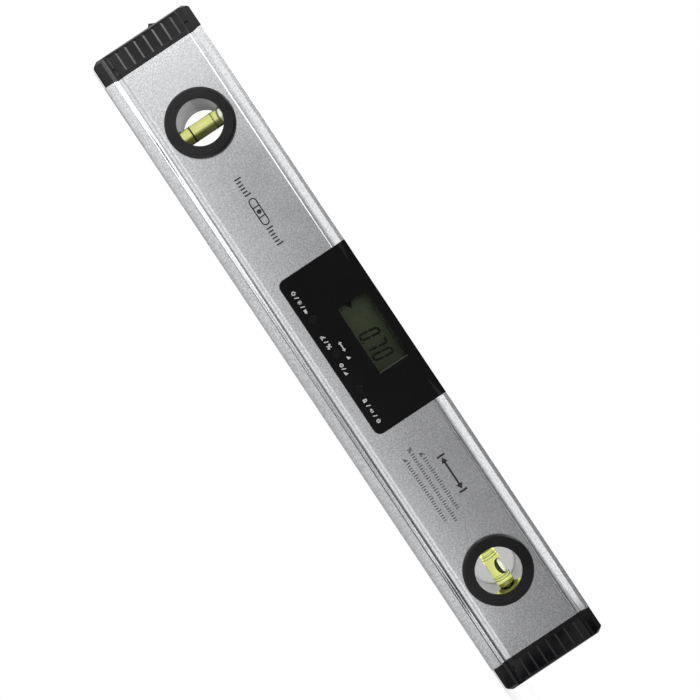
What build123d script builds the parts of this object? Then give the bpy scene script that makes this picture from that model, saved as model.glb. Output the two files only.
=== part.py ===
from build123d import *
import os

os.makedirs("parts", exist_ok=True)

# Digital spirit level: a hollow aluminium profile with a plumb vial, a level vial and a display module.
# X runs along the level, the front looks towards -Y and Z is up, in millimetres.
# The origin is the middle of the working face along the bottom.
# A depth is a distance in front of the middle plane, so the rear has negative depths.

# Overall sizes
overall_length = 402.1
body_height = 62.0
body_thickness = 27.0
cap_length = 15.2

# Section of the body profile
panel_recess = 1.5
groove_depth = 0.5
bottom_flange = 6.3
bottom_slope = 1.9
bottom_groove = 2.0
panel_ramp = 1.8
panel_edge = 0.8
top_groove = 2.0
top_slope = 3.2
top_flange = 2.2
side_wall = 2.0
sole_wall = 4.0
top_wall = 3.4
cavity_radius = 1.5
sole_bevel = 0.9
flange_radius = 1.2
groove_radius = 2.6
ramp_foot_radius = 5.0
ramp_radius = 5.0
panel_edge_radius = 0.9
top_groove_radius = 1.6
slope_foot_radius = 3.0
top_flange_radius = 0.8
top_edge_radius = 0.4

# End caps
cap_inset = 0.15
cap_sole_step = 0.9
cap_corner_run = 3.3
cap_corner_rise = 3.2
cap_bevel = 0.8
rib_count = 8
rib_depth = 0.7
rib_ledge = 1.0
rib_offset = 1.1
rib_margin = 1.6
rib_length = 11.0
dimple_diameter = 2.4
dimple_depth = 0.8
dimple_margin = 9.5
lower_dimple_offset = 1.7
upper_dimple_offset = 0.7
cap_fit = 0.15
cap_plug_length = 12.0
cap_plug_wall = 1.8
nub_reach = 2.0
nub_depth = 6.0
nub_width = 4.0
nub_rise = 6.1
nub_tip_rise = 1.7
nub_height = 5.7

# Vial housings
plumb_margin = 58.15
level_margin = 57.75
vial_rise = 1.5
ring_diameter = 38.4
ring_height = 2.0
ring_edge = 1.2
ring_opening = 25.4
ring_lip = 1.2
housing_bore = 33.0
ring_fit = 0.1
spigot_gap = 0.1
sleeve_wall = 1.0
sleeve_fit = 0.1
sleeve_hole_gap = 0.7
backing_thickness = 1.0

# Vials
tube_diameter = 9.4
tube_wall = 1.0
plumb_tube_length = 32.0
level_tube_length = 23.4
seat_span = 32.0
tube_fit = 0.1
plug_length = 2.0
stub_diameter = 4.0
fill_gap = 0.05
line_thickness = 0.12
plumb_lower_line = 0.45
plumb_upper_line = 0.28
level_line_width = 0.28
plumb_line_spacing = 13.1
level_line_inner = 11.8
level_line_outer = 14.8
plumb_bubble_length = 4.6
plumb_bubble_diameter = 5.6
plumb_bubble_edge = 2.0
level_bubble_length = 9.5
level_bubble_diameter = 3.6
level_bubble_shift = 1.5
bubble_gap = 0.3
channel_gap = 0.4

# Display module and the notch that holds it
module_length = 97.4
module_height = 43.4
module_corner = 3.9
least_corner = 0.5
module_lip = 1.2
module_fit = 0.15
seat_depth = 1.0
seat_gap = 0.1
plate_thickness = 1.2
shoulder_run = 11.5
housing_wall = 1.4
divider_thickness = 1.2
cut_margin = 1.0

# Display and circuit board
window_x = 0.8
window_width = 41.2
window_height = 18.3
window_drop = 5.5
pane_thickness = 1.0
pane_margin = 1.5
bezel_depth = 2.0
lcd_thickness = 1.8
lcd_margin = 2.2
backlight_thickness = 1.6
zebra_height = 1.8
zebra_clearance = 0.2
led_length = 1.5
led_height = 3.0
led_thickness = 1.4
led_gap = 0.3
board_thickness = 1.2
board_gap = 0.4
board_standoff = 1.4
post_inset = 3.2
post_drop = 6.0
post_diameter = 4.4
board_screw_diameter = 1.8
board_screw_head = 3.2
board_screw_head_height = 1.0
board_screw_reach = 2.0
screw_fit = 0.05
hole_fit = 0.2
sensor_x = -34.0
sensor_rise = 25.4
sensor_size = 9.0
sensor_thickness = 3.5
sensor_bevel = 0.6
chip_x = 35.0
chip_rise = 28.4
chip_size = 7.0
chip_thickness = 1.2
chip_bevel = 0.3
buzzer_x = 36.0
buzzer_rise = 14.4
buzzer_diameter = 11.0
buzzer_height = 4.5
buzzer_port = 2.0
buzzer_port_depth = 1.0

# Buttons
key_pitch = 22.3
key_rise = 5.7
key_diameter = 5.0
key_gap = 0.3
key_proud = 0.2
key_edge = 0.35
key_flange_diameter = 7.0
key_flange_thickness = 0.9
key_flange_gap = 0.1
key_stem_diameter = 3.0
key_travel = 0.6
key_spare = 0.2
key_relief_gap = 0.3
switch_size = 4.5
switch_height = 3.0
switch_plunger_diameter = 2.4
switch_plunger_height = 0.6

# Cells, contacts and the battery door
cell_diameter = 10.5
cell_length = 44.5
cell_nub_diameter = 3.8
cell_nub_length = 1.0
cell_pitch = 12.4
cell_rise = 22.0
cell_gap = 0.2
contact_thickness = 0.4
contact_gap = 0.15
contact_size = 8.0
tail_width = 2.0
tail_gap = 0.15
bay_gap = 0.3
bay_wall = 1.4
bay_rim_gap = 1.4
barrel_radius = 1.0
door_gap = 0.3
hinge_pin_diameter = 1.2
hinge_fit = 0.05
ear_length = 3.0
ear_half_height = 1.6
ear_depth = 1.0
ear_floor = 0.4
scoop_radius = 7.0
scoop_depth = 0.6
grip_count = 4
grip_pitch = 2.2
grip_length = 16.0
grip_width = 0.8
grip_height = 0.5
grip_margin = 1.6
cover_screw_diameter = 2.0
cover_screw_head = 3.8
cover_screw_head_height = 1.1
cover_screw_edge = 0.5
cross_length = 2.2
cross_width = 0.5
cross_depth = 0.6
cover_screw_length = 7.0
cover_boss_diameter = 5.0

# Heights of the section's corners
bottom_groove_low = bottom_flange + bottom_slope
bottom_groove_high = bottom_groove_low + bottom_groove
panel_low = bottom_groove_high + panel_ramp
top_flange_low = body_height - top_flange
top_groove_high = top_flange_low - top_slope
top_groove_low = top_groove_high - top_groove
panel_high = top_groove_low - panel_edge

# Depths and lengths of the body
body_length = overall_length - 2 * cap_length
rail_depth = body_thickness / 2
panel_depth = rail_depth - panel_recess
cavity_width = 2 * (panel_depth - side_wall)
cavity_height = body_height - sole_wall - top_wall
cavity_z = sole_wall + cavity_height / 2

# Depths and lengths of the vials, whose middles are the same distance from each end
plumb_x = plumb_margin - overall_length / 2
level_x = overall_length / 2 - level_margin
vial_z = body_height / 2 + vial_rise
tube_radius = tube_diameter / 2
bore_radius = tube_radius - tube_wall
sleeve_radius = ring_opening / 2 + sleeve_wall
sleeve_end = panel_depth + ring_height - ring_lip
level_bubble_rise = bore_radius - bubble_gap - level_bubble_diameter / 2
plumb_bubble_rise = plumb_tube_length / 2 - plug_length - bubble_gap - plumb_bubble_length / 2

# Depths of the display module, from the front to the back
seat_front = panel_depth - seat_depth
plate_front = seat_front + plate_thickness
pane_back = seat_front - pane_thickness
lcd_front = pane_back - bezel_depth
lcd_back = lcd_front - lcd_thickness
board_front = lcd_back - backlight_thickness
board_back = board_front - board_thickness
divider_front = board_back - board_standoff
divider_back = divider_front - divider_thickness

# Outline of the module housing and of what stands in it
module_bottom = body_height - module_height
housing_inset = module_lip + module_fit
tray_inset = housing_inset + housing_wall
tray_half = module_length / 2 - tray_inset
tray_low = module_bottom + tray_inset
tray_high = body_height - housing_wall
post_x = tray_half - post_inset
post_places = [
    (-post_x, tray_low + post_inset),
    (post_x, tray_low + post_inset),
    (-post_x, tray_high - post_drop),
    (post_x, tray_high - post_drop),
]
window_z = body_height - window_drop - window_height / 2
lcd_width = window_width + 2 * lcd_margin
lcd_height = window_height + 2 * lcd_margin
backlight_height = lcd_height - 2 * (zebra_height + zebra_clearance)
key_z = module_bottom + key_rise
key_places = [(-key_pitch, key_z), (0, key_z), (key_pitch, key_z)]
key_hole_diameter = key_diameter + 2 * key_gap
key_flange_front = seat_front - key_flange_gap
key_flange_back = key_flange_front - key_flange_thickness
switch_top = board_front + switch_height + switch_plunger_height
sensor_z = module_bottom + sensor_rise
chip_z = module_bottom + chip_rise
buzzer_z = module_bottom + buzzer_rise

# Battery bay and door, on the rear
cell_depth = divider_back - cell_gap - cell_diameter / 2
cell_z = module_bottom + cell_rise
cell_heights = [cell_z - cell_pitch / 2, cell_z + cell_pitch / 2]
bay_half = cell_length / 2 + contact_gap + contact_thickness
bay_low = cell_heights[0] - cell_diameter / 2 - bay_gap
bay_high = cell_heights[1] + cell_diameter / 2 + bay_gap
door_half = bay_half + bay_wall
door_top = bay_high + bay_wall
hinge_z = bay_low - bay_wall - barrel_radius
hinge_depth = -(plate_front - barrel_radius)
ear_x = door_half + door_gap + ear_length / 2


def in_front(depth):
    """Plane at a depth in front of the middle plane, facing the front."""
    return Plane.XZ.offset(depth)


def save(piece, label):
    """Name a finished piece and write it to its own file."""
    piece.part.label = label
    export_step(piece.part, f"parts/{label}.step")


def profile_section(plane, side_inset=0.0, bottom_inset=0.0, top_inset=0.0):
    """Outline across the level, with its rails, grooves and panels, moved in by the insets."""
    rail = rail_depth - side_inset
    panel = panel_depth - side_inset
    groove = panel - groove_depth
    front_corners = [
        (rail - sole_bevel, bottom_inset, 0.0),
        (rail, bottom_inset + sole_bevel, 0.0),
        (rail, bottom_flange, flange_radius),
        (groove, bottom_groove_low, groove_radius),
        (groove, bottom_groove_high, ramp_foot_radius),
        (panel, panel_low, ramp_radius),
        (panel, panel_high, panel_edge_radius),
        (groove, top_groove_low, top_groove_radius),
        (groove, top_groove_high, slope_foot_radius),
        (rail, top_flange_low, top_flange_radius),
        (rail, body_height - top_inset, top_edge_radius),
    ]
    rear_corners = [(-across, up, radius) for across, up, radius in reversed(front_corners)]
    corners = front_corners + rear_corners
    with BuildSketch(plane) as section:
        with BuildLine():
            FilletPolyline(
                [(across, up) for across, up, radius in corners],
                radius=[radius for across, up, radius in corners],
                close=True,
            )
        make_face()
    return section.sketch


def module_outline(depth, grow, top):
    """Front outline of the module, grown by an amount, on the plane at a depth."""
    half = module_length / 2 + grow
    low = module_bottom - grow
    with BuildSketch(in_front(depth)) as outline:
        with Locations((0, (low + top) / 2)):
            Rectangle(2 * half, top - low)
        fillet(outline.vertices().group_by(Axis.Y)[0], radius=max(module_corner + grow, least_corner))
    return outline.sketch


def slab(near, far, x, z, width, height):
    """Add a flat block between two depths, centred at x and z, to the piece being made."""
    with BuildSketch(in_front(near)) as face:
        with Locations((x, z)):
            Rectangle(width, height)
    extrude(face.sketch, amount=far - near)


def rods(near, far, places, diameter, mode=Mode.ADD):
    """Add or cut round rods between two depths at each place."""
    with BuildSketch(in_front(near)) as face:
        with Locations(*places):
            Circle(diameter / 2)
    extrude(face.sketch, amount=far - near, mode=mode)


# Body profile, with the vial bores and the notch of the display module
with BuildPart() as body_profile:
    extrude(profile_section(Plane.YZ), amount=body_length / 2, both=True)
    with BuildSketch(Plane.YZ):
        with Locations((0, cavity_z)):
            RectangleRounded(cavity_width, cavity_height, cavity_radius)
    extrude(amount=body_length / 2, both=True, mode=Mode.SUBTRACT)
    rods(-rail_depth, rail_depth, [(plumb_x, vial_z), (level_x, vial_z)], housing_bore, Mode.SUBTRACT)
    notch = module_outline(-rail_depth, -module_lip, body_height + cut_margin)
    extrude(notch, amount=body_thickness, mode=Mode.SUBTRACT)
    for side in (1, -1):
        seat = module_outline(side * seat_front, seat_gap, body_height + cut_margin)
        extrude(seat, amount=side * (rail_depth + cut_margin - seat_front), mode=Mode.SUBTRACT)
save(body_profile, "body_profile")


# End caps, plugged into the ends of the profile
def end_cap(side):
    """Make the cap at one end, with its ribs, dimples, sloping corners and hollow plug."""
    joint_x = side * body_length / 2
    end_x = side * overall_length / 2
    cap_top = body_height - cap_inset
    cap_rail = rail_depth - cap_inset
    cap_panel = panel_depth - cap_inset
    cap_groove = cap_panel - groove_depth
    rib_low = bottom_groove_low + rib_offset
    rib_pitch = (top_groove_high - rib_offset - rib_low) / rib_count
    dimple_heights = [bottom_groove_low + lower_dimple_offset, top_groove_high - upper_dimple_offset]
    with BuildPart() as cap:
        head = profile_section(Plane.YZ.offset(joint_x), cap_inset, cap_sole_step, cap_inset)
        extrude(head, amount=side * cap_length)
        with BuildSketch(Plane.XZ):
            for corner_z, inward in ((cap_sole_step, 1), (cap_top, -1)):
                with BuildLine():
                    Polyline(
                        (end_x, corner_z),
                        (end_x - side * cap_corner_run, corner_z),
                        (end_x, corner_z + inward * cap_corner_rise),
                        close=True,
                    )
                make_face()
        extrude(amount=rail_depth, both=True, mode=Mode.SUBTRACT)
        with BuildSketch(Plane.XY):
            for face in (1, -1):
                with BuildLine():
                    Polyline(
                        (end_x, face * cap_rail),
                        (end_x - side * (cap_bevel + panel_recess), face * cap_rail),
                        (end_x, face * (cap_panel - cap_bevel)),
                        close=True,
                    )
                make_face()
        extrude(amount=body_height, mode=Mode.SUBTRACT)
        with BuildSketch(Plane.YZ.offset(end_x - side * (rib_margin + rib_length))):
            for rib in range(rib_count):
                low = rib_low + rib * rib_pitch
                for face in (1, -1):
                    with BuildLine():
                        Polyline(
                            (face * rail_depth, low),
                            (face * cap_panel, low),
                            (face * (cap_panel - rib_depth), low + rib_ledge),
                            (face * cap_panel, low + rib_pitch),
                            (face * rail_depth, low + rib_pitch),
                            close=True,
                        )
                    make_face()
        extrude(amount=side * rib_length, mode=Mode.SUBTRACT)
        dimple_places = [(end_x - side * dimple_margin, height) for height in dimple_heights]
        dimple_floor = cap_groove - dimple_depth
        for face in (1, -1):
            rods(face * dimple_floor, face * rail_depth, dimple_places, dimple_diameter, Mode.SUBTRACT)
        with BuildSketch(Plane.YZ.offset(joint_x)):
            with Locations((0, cavity_z)):
                plug_width = cavity_width - 2 * cap_fit
                plug_height = cavity_height - 2 * cap_fit
                RectangleRounded(plug_width, plug_height, cavity_radius)
                Rectangle(plug_width - 2 * cap_plug_wall, plug_height - 2 * cap_plug_wall, mode=Mode.SUBTRACT)
        extrude(amount=-side * cap_plug_length)
        if side < 0:
            nub_low = body_height / 2 + nub_rise
            nub_tip = nub_low + nub_tip_rise
            nub_high = nub_low + nub_height
            with BuildSketch(in_front(nub_depth)):
                with BuildLine():
                    Polyline((end_x, nub_low), (end_x - nub_reach, nub_tip), (end_x, nub_high), close=True)
                make_face()
            extrude(amount=nub_width)
    return cap


save(end_cap(-1), "left_end_cap")
save(end_cap(1), "right_end_cap")


# Vials: two rings clamp a sleeve and a sealed tube in each bore of the profile
def vial_ring(x, side, along, seat_radius):
    """Make the front (side 1) or rear (side -1) ring, whose notches take half of each end of the vial."""
    with BuildPart() as ring:
        rods(side * panel_depth, side * (panel_depth + ring_height), [(x, vial_z)], ring_diameter)
        rim = ring.faces().sort_by(Axis.Y)[0 if side > 0 else -1]
        fillet(rim.edges(), radius=ring_edge)
        near = side * spigot_gap / 2
        rods(near, side * panel_depth, [(x, vial_z)], housing_bore - 2 * ring_fit)
        rods(near, side * sleeve_end, [(x, vial_z)], 2 * (sleeve_radius + sleeve_fit), Mode.SUBTRACT)
        rods(near, side * (panel_depth + ring_height), [(x, vial_z)], ring_opening, Mode.SUBTRACT)
        with BuildSketch(along):
            Circle(seat_radius + tube_fit)
        extrude(amount=housing_bore / 2, both=True, mode=Mode.SUBTRACT)
    return ring


def vial_sleeve(x, rear_end, along, seat_radius):
    """Make the bright sleeve that lines the bore, with a hole on each side for the end of the vial."""
    with BuildPart() as sleeve:
        rods(rear_end, sleeve_end, [(x, vial_z)], 2 * sleeve_radius)
        rods(rear_end, sleeve_end, [(x, vial_z)], ring_opening, Mode.SUBTRACT)
        with BuildSketch(along):
            Circle(seat_radius + sleeve_hole_gap)
        extrude(amount=housing_bore / 2, both=True, mode=Mode.SUBTRACT)
    return sleeve


def vial_tube(along, length):
    """Make the clear tube, open at both ends."""
    with BuildPart() as tube:
        with BuildSketch(along):
            Circle(tube_radius)
            Circle(bore_radius, mode=Mode.SUBTRACT)
        extrude(amount=length / 2, both=True)
    return tube


def vial_plugs(along, length):
    """Make the plugs that seal the tube, with stubs out to the rings where it stops short of them."""
    with BuildPart() as plugs:
        for end in (1, -1):
            with BuildSketch(along.offset(end * (length / 2 - plug_length))):
                Circle(bore_radius - fill_gap)
            extrude(amount=end * plug_length)
            if length < seat_span:
                with BuildSketch(along.offset(end * length / 2)):
                    Circle(stub_diameter / 2)
                extrude(amount=end * (seat_span - length) / 2)
    return plugs


def vial_liquid(along, length, bubble_rise, bubble_diameter):
    """Make the liquid, with the channel along which the bubble travels."""
    with BuildPart() as liquid:
        with BuildSketch(along):
            Circle(bore_radius - fill_gap)
            with Locations((bubble_rise, 0)):
                Circle(bubble_diameter / 2 + channel_gap, mode=Mode.SUBTRACT)
        extrude(amount=length / 2 - plug_length, both=True)
    return liquid


def reading_lines(along, places):
    """Make printed rings around the tube, each at a distance from its middle and of its own width."""
    with BuildPart() as lines:
        for offset, width in places:
            with BuildSketch(along.offset(offset - width / 2)):
                Circle(tube_radius + fill_gap + line_thickness)
                Circle(tube_radius + fill_gap, mode=Mode.SUBTRACT)
            extrude(amount=width)
    return lines


plumb_along = Plane(origin=(plumb_x, 0, vial_z), x_dir=(1, 0, 0), z_dir=(0, 0, 1))
level_along = Plane(origin=(level_x, 0, vial_z), x_dir=(0, 0, 1), z_dir=(1, 0, 0))
backing_front = -sleeve_end + backing_thickness

for vial, x, along, sleeve_rear, length, seat_radius in (
    ("plumb", plumb_x, plumb_along, -sleeve_end, plumb_tube_length, tube_radius),
    ("level", level_x, level_along, backing_front, level_tube_length, stub_diameter / 2),
):
    save(vial_ring(x, 1, along, seat_radius), f"{vial}_front_ring")
    save(vial_ring(x, -1, along, seat_radius), f"{vial}_rear_ring")
    save(vial_sleeve(x, sleeve_rear, along, seat_radius), f"{vial}_sleeve")
    save(vial_tube(along, length), f"{vial}_vial_tube")
    save(vial_plugs(along, length), f"{vial}_vial_plugs")

plumb_liquid = vial_liquid(plumb_along, plumb_tube_length, 0, plumb_bubble_diameter)
save(plumb_liquid, "plumb_vial_liquid")
level_liquid = vial_liquid(level_along, level_tube_length, level_bubble_rise, level_bubble_diameter)
save(level_liquid, "level_vial_liquid")

plumb_places = [(-plumb_line_spacing / 2, plumb_lower_line), (plumb_line_spacing / 2, plumb_upper_line)]
level_places = [
    (end * spacing / 2, level_line_width)
    for end in (-1, 1)
    for spacing in (level_line_inner, level_line_outer)
]
save(reading_lines(plumb_along, plumb_places), "plumb_vial_lines")
save(reading_lines(level_along, level_places), "level_vial_lines")

# Air bubbles: a flat one at the top of the plumb vial, a long one under the top of the level vial
with BuildPart() as plumb_bubble:
    with BuildSketch(plumb_along.offset(plumb_bubble_rise - plumb_bubble_length / 2)):
        Circle(plumb_bubble_diameter / 2)
    extrude(amount=plumb_bubble_length)
    fillet(plumb_bubble.edges().filter_by(GeomType.CIRCLE), radius=plumb_bubble_edge)
save(plumb_bubble, "plumb_bubble")

with BuildPart() as level_bubble:
    bubble_middle = (level_x + level_bubble_shift, 0, vial_z + level_bubble_rise)
    with BuildSketch(Plane(origin=bubble_middle, x_dir=(1, 0, 0), z_dir=(0, -1, 0))):
        Ellipse(level_bubble_length / 2, level_bubble_diameter / 2)
        Rectangle(
            level_bubble_length,
            level_bubble_diameter,
            align=(Align.CENTER, Align.MAX),
            mode=Mode.SUBTRACT,
        )
    revolve(axis=Axis(bubble_middle, (1, 0, 0)))
save(level_bubble, "level_bubble")

# Grey disc behind the level vial, held between its sleeve and its rear ring
with BuildPart() as level_backing:
    rods(-sleeve_end, backing_front, [(level_x, vial_z)], 2 * sleeve_radius)
save(level_backing, "level_backing")


# Display module: a housing in the notch, closed by a fascia and a rear cover
def rail_shoulders(side):
    """Make the ends of the top rail that run out on the module's front (side 1) or rear (side -1)."""
    module_half = module_length / 2
    with BuildPart() as shoulders:
        extrude(profile_section(Plane.YZ.offset(-module_half)), amount=module_length)
        with BuildSketch(Plane.XY.offset(top_groove_low)):
            for end in (-1, 1):
                with BuildLine():
                    Polyline(
                        (end * module_half, -side * plate_front),
                        (end * module_half, -side * rail_depth),
                        (end * (module_half - shoulder_run), -side * plate_front),
                        close=True,
                    )
                make_face()
        extrude(amount=body_height - top_groove_low, mode=Mode.INTERSECT)
    return shoulders.part


with BuildPart() as module_housing:
    extrude(module_outline(-seat_front, -housing_inset, body_height), amount=2 * seat_front)
    front_tray = module_outline(divider_front, -tray_inset, tray_high)
    extrude(front_tray, amount=seat_front - divider_front, mode=Mode.SUBTRACT)
    rear_tray = module_outline(divider_back, -tray_inset, tray_high)
    extrude(rear_tray, amount=-seat_front - divider_back, mode=Mode.SUBTRACT)
    rods(divider_front, board_back, post_places, post_diameter)
    rods(divider_back, -seat_front, post_places, cover_boss_diameter)
    rods(divider_back, board_back, post_places, board_screw_diameter + 2 * screw_fit, Mode.SUBTRACT)
    rods(
        plate_thickness - seat_front + cover_screw_length,
        -seat_front,
        post_places,
        cover_screw_diameter + 2 * screw_fit,
        Mode.SUBTRACT,
    )
    with BuildSketch(in_front(divider_back)):
        with Locations((0, (bay_low + bay_high) / 2)):
            Rectangle(2 * (bay_half + bay_wall), bay_high - bay_low + 2 * bay_wall)
            Rectangle(2 * bay_half, bay_high - bay_low, mode=Mode.SUBTRACT)
    extrude(amount=-seat_front + bay_rim_gap - divider_back)
    with BuildSketch(in_front(divider_back)):
        with Locations(*[(-bay_half + contact_thickness / 2, height) for height in cell_heights]):
            Rectangle(contact_thickness + 2 * tail_gap, tail_width + 2 * tail_gap)
    extrude(amount=divider_thickness, mode=Mode.SUBTRACT)
    rods(
        key_flange_back - key_travel - key_relief_gap,
        seat_front,
        key_places,
        key_flange_diameter + 2 * key_relief_gap,
        Mode.SUBTRACT,
    )
save(module_housing, "module_housing")

with BuildPart() as fascia:
    extrude(module_outline(seat_front, 0, body_height), amount=plate_thickness)
    add(rail_shoulders(1))
    with BuildSketch(in_front(seat_front)):
        with Locations((window_x, window_z)):
            Rectangle(window_width, window_height)
    extrude(amount=plate_thickness, mode=Mode.SUBTRACT)
    rods(seat_front, plate_front, key_places, key_hole_diameter, Mode.SUBTRACT)
save(fascia, "fascia")

with BuildPart() as rear_cover:
    extrude(module_outline(-seat_front, 0, body_height), amount=-plate_thickness)
    add(rail_shoulders(-1))
    with BuildSketch(in_front(-seat_front)):
        opening_low = hinge_z - barrel_radius - door_gap
        opening_high = door_top + door_gap
        with Locations((0, (opening_low + opening_high) / 2)):
            Rectangle(2 * (door_half + door_gap), opening_high - opening_low)
    extrude(amount=-plate_thickness, mode=Mode.SUBTRACT)
    for end in (-1, 1):
        slab(-seat_front, -seat_front + ear_depth, end * ear_x, hinge_z, ear_length, 2 * ear_half_height)
    with BuildSketch(Plane.YZ):
        with Locations((-hinge_depth, hinge_z)):
            Circle(hinge_pin_diameter / 2 + hinge_fit)
    extrude(amount=ear_x + ear_length / 2 - ear_floor, both=True, mode=Mode.SUBTRACT)
    rods(-seat_front, -plate_front, post_places, cover_screw_diameter + 2 * hole_fit, Mode.SUBTRACT)
save(rear_cover, "rear_cover")

with BuildPart() as cover_screws:
    head_top = -plate_front - cover_screw_head_height
    rods(-plate_front, head_top, post_places, cover_screw_head)
    fillet(cover_screws.edges().group_by(Axis.Y)[-1], radius=cover_screw_edge)
    rods(-plate_front, cover_screw_length - plate_front, post_places, cover_screw_diameter)
    with BuildSketch(in_front(head_top)):
        with Locations(*post_places):
            Rectangle(cross_length, cross_width)
            Rectangle(cross_width, cross_length)
    extrude(amount=cross_depth, mode=Mode.SUBTRACT)
save(cover_screws, "cover_screws")

# Display, from the clear pane back to the board
with BuildPart() as display_window:
    slab(
        pane_back,
        seat_front,
        window_x,
        window_z,
        window_width + 2 * pane_margin,
        window_height + 2 * pane_margin,
    )
save(display_window, "display_window")

with BuildPart() as display_bezel:
    slab(lcd_front, pane_back, window_x, window_z, lcd_width, lcd_height)
    with BuildSketch(in_front(lcd_front)):
        with Locations((window_x, window_z)):
            Rectangle(window_width, window_height)
    extrude(amount=bezel_depth, mode=Mode.SUBTRACT)
save(display_bezel, "display_bezel")

with BuildPart() as lcd_panel:
    slab(lcd_back, lcd_front, window_x, window_z, lcd_width, lcd_height)
save(lcd_panel, "lcd_panel")

with BuildPart() as backlight:
    slab(board_front, lcd_back, window_x, window_z, lcd_width, backlight_height)
save(backlight, "backlight")

with BuildPart() as backlight_led:
    led_x = window_x + lcd_width / 2 + led_gap + led_length / 2
    slab(board_front, board_front + led_thickness, led_x, window_z, led_length, led_height)
save(backlight_led, "backlight_led")

with BuildPart() as zebra_strips:
    for edge in (-1, 1):
        strip_z = window_z + edge * (lcd_height - zebra_height) / 2
        slab(board_front, lcd_back, window_x, strip_z, window_width, zebra_height)
save(zebra_strips, "zebra_strips")

# Circuit board and the parts on it
with BuildPart() as circuit_board:
    board_low = tray_low + board_gap
    board_high = tray_high - board_gap
    slab(
        board_back,
        board_front,
        0,
        (board_low + board_high) / 2,
        2 * (tray_half - board_gap),
        board_high - board_low,
    )
    rods(board_back, board_front, post_places, board_screw_diameter + 2 * hole_fit, Mode.SUBTRACT)
save(circuit_board, "circuit_board")

with BuildPart() as board_screws:
    rods(board_front, board_front + board_screw_head_height, post_places, board_screw_head)
    rods(board_front, board_back - board_screw_reach, post_places, board_screw_diameter)
save(board_screws, "board_screws")

with BuildPart() as tilt_sensor:
    slab(board_front, board_front + sensor_thickness, sensor_x, sensor_z, sensor_size, sensor_size)
    chamfer(tilt_sensor.faces().sort_by(Axis.Y)[0].edges(), length=sensor_bevel)
save(tilt_sensor, "tilt_sensor")

with BuildPart() as microcontroller:
    slab(board_front, board_front + chip_thickness, chip_x, chip_z, chip_size, chip_size)
    chamfer(microcontroller.faces().sort_by(Axis.Y)[0].edges(), length=chip_bevel)
save(microcontroller, "microcontroller")

with BuildPart() as buzzer:
    buzzer_front = board_front + buzzer_height
    rods(board_front, buzzer_front, [(buzzer_x, buzzer_z)], buzzer_diameter)
    rods(buzzer_front - buzzer_port_depth, buzzer_front, [(buzzer_x, buzzer_z)], buzzer_port, Mode.SUBTRACT)
save(buzzer, "buzzer")

with BuildPart() as key_switches:
    for key_x, key_height in key_places:
        slab(board_front, board_front + switch_height, key_x, key_height, switch_size, switch_size)
    rods(board_front + switch_height, switch_top, key_places, switch_plunger_diameter)
save(key_switches, "key_switches")


# Buttons, each held behind the fascia by its flange
def button(place):
    """Make the button at one place, with the stem that presses its switch."""
    with BuildPart() as key:
        rods(key_flange_front, plate_front + key_proud, [place], key_diameter)
        fillet(key.faces().sort_by(Axis.Y)[0].edges(), radius=key_edge)
        rods(key_flange_back, key_flange_front, [place], key_flange_diameter)
        rods(switch_top + key_travel + key_spare, key_flange_back, [place], key_stem_diameter)
    return key


for label, place in zip(("power_button", "unit_button", "hold_button"), key_places):
    save(button(place), label)

# Cells and their contacts, in the bay behind the board
with BuildPart() as battery_cells:
    body_cell_length = cell_length - cell_nub_length
    for height, end in zip(cell_heights, (1, -1)):
        with BuildSketch(Plane.YZ.offset(-end * cell_length / 2)):
            with Locations((-cell_depth, height)):
                Circle(cell_diameter / 2)
        extrude(amount=end * body_cell_length)
        with BuildSketch(Plane.YZ.offset(end * (body_cell_length - cell_length / 2))):
            with Locations((-cell_depth, height)):
                Circle(cell_nub_diameter / 2)
        extrude(amount=end * cell_nub_length)
save(battery_cells, "battery_cells")

contact_near = cell_depth - contact_size / 2
contact_far = cell_depth + contact_size / 2

with BuildPart() as battery_contacts:
    contact_x = -bay_half + contact_thickness / 2
    for height in cell_heights:
        slab(contact_near, contact_far, contact_x, height, contact_thickness, contact_size)
        slab(contact_far, board_back, contact_x, height, contact_thickness, tail_width)
save(battery_contacts, "battery_contacts")

with BuildPart() as battery_bridge:
    bridge_x = bay_half - contact_thickness / 2
    slab(contact_near, contact_far, bridge_x, cell_z, contact_thickness, cell_pitch + contact_size)
save(battery_bridge, "battery_bridge")

# Battery door, which swings down on its pin at the lower edge
with BuildPart() as battery_door:
    slab(-seat_front, -plate_front, 0, (hinge_z + door_top) / 2, 2 * door_half, door_top - hinge_z)
    with BuildSketch(Plane.YZ):
        with Locations((-hinge_depth, hinge_z)):
            Circle(barrel_radius)
    extrude(amount=door_half, both=True)
    with BuildSketch(Plane.YZ):
        with Locations((-hinge_depth, hinge_z)):
            Circle(hinge_pin_diameter / 2 + hinge_fit)
    extrude(amount=door_half, both=True, mode=Mode.SUBTRACT)
    rods(scoop_depth - plate_front, -plate_front, [(0, door_top)], 2 * scoop_radius, Mode.SUBTRACT)
    for grip in range(grip_count):
        grip_z = door_top - scoop_radius - grip_margin - grip * grip_pitch
        slab(-plate_front, -plate_front - grip_height, 0, grip_z, grip_length, grip_width)
save(battery_door, "battery_door")

with BuildPart() as door_hinge_pin:
    pin_half = ear_x + ear_length / 2 - ear_floor
    with BuildSketch(Plane.YZ):
        with Locations((-hinge_depth, hinge_z)):
            Circle(hinge_pin_diameter / 2)
    extrude(amount=pin_half, both=True)
save(door_hinge_pin, "door_hinge_pin")
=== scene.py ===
"""Looks of a digital spirit level: finishes, vials, display, printed marks, studio light and camera."""

import logging
import math
from dataclasses import dataclass, field
from enum import Enum
from functools import cache
from typing import Any, ClassVar

import bmesh
import bpy
from mathutils import Matrix, Vector


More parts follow.
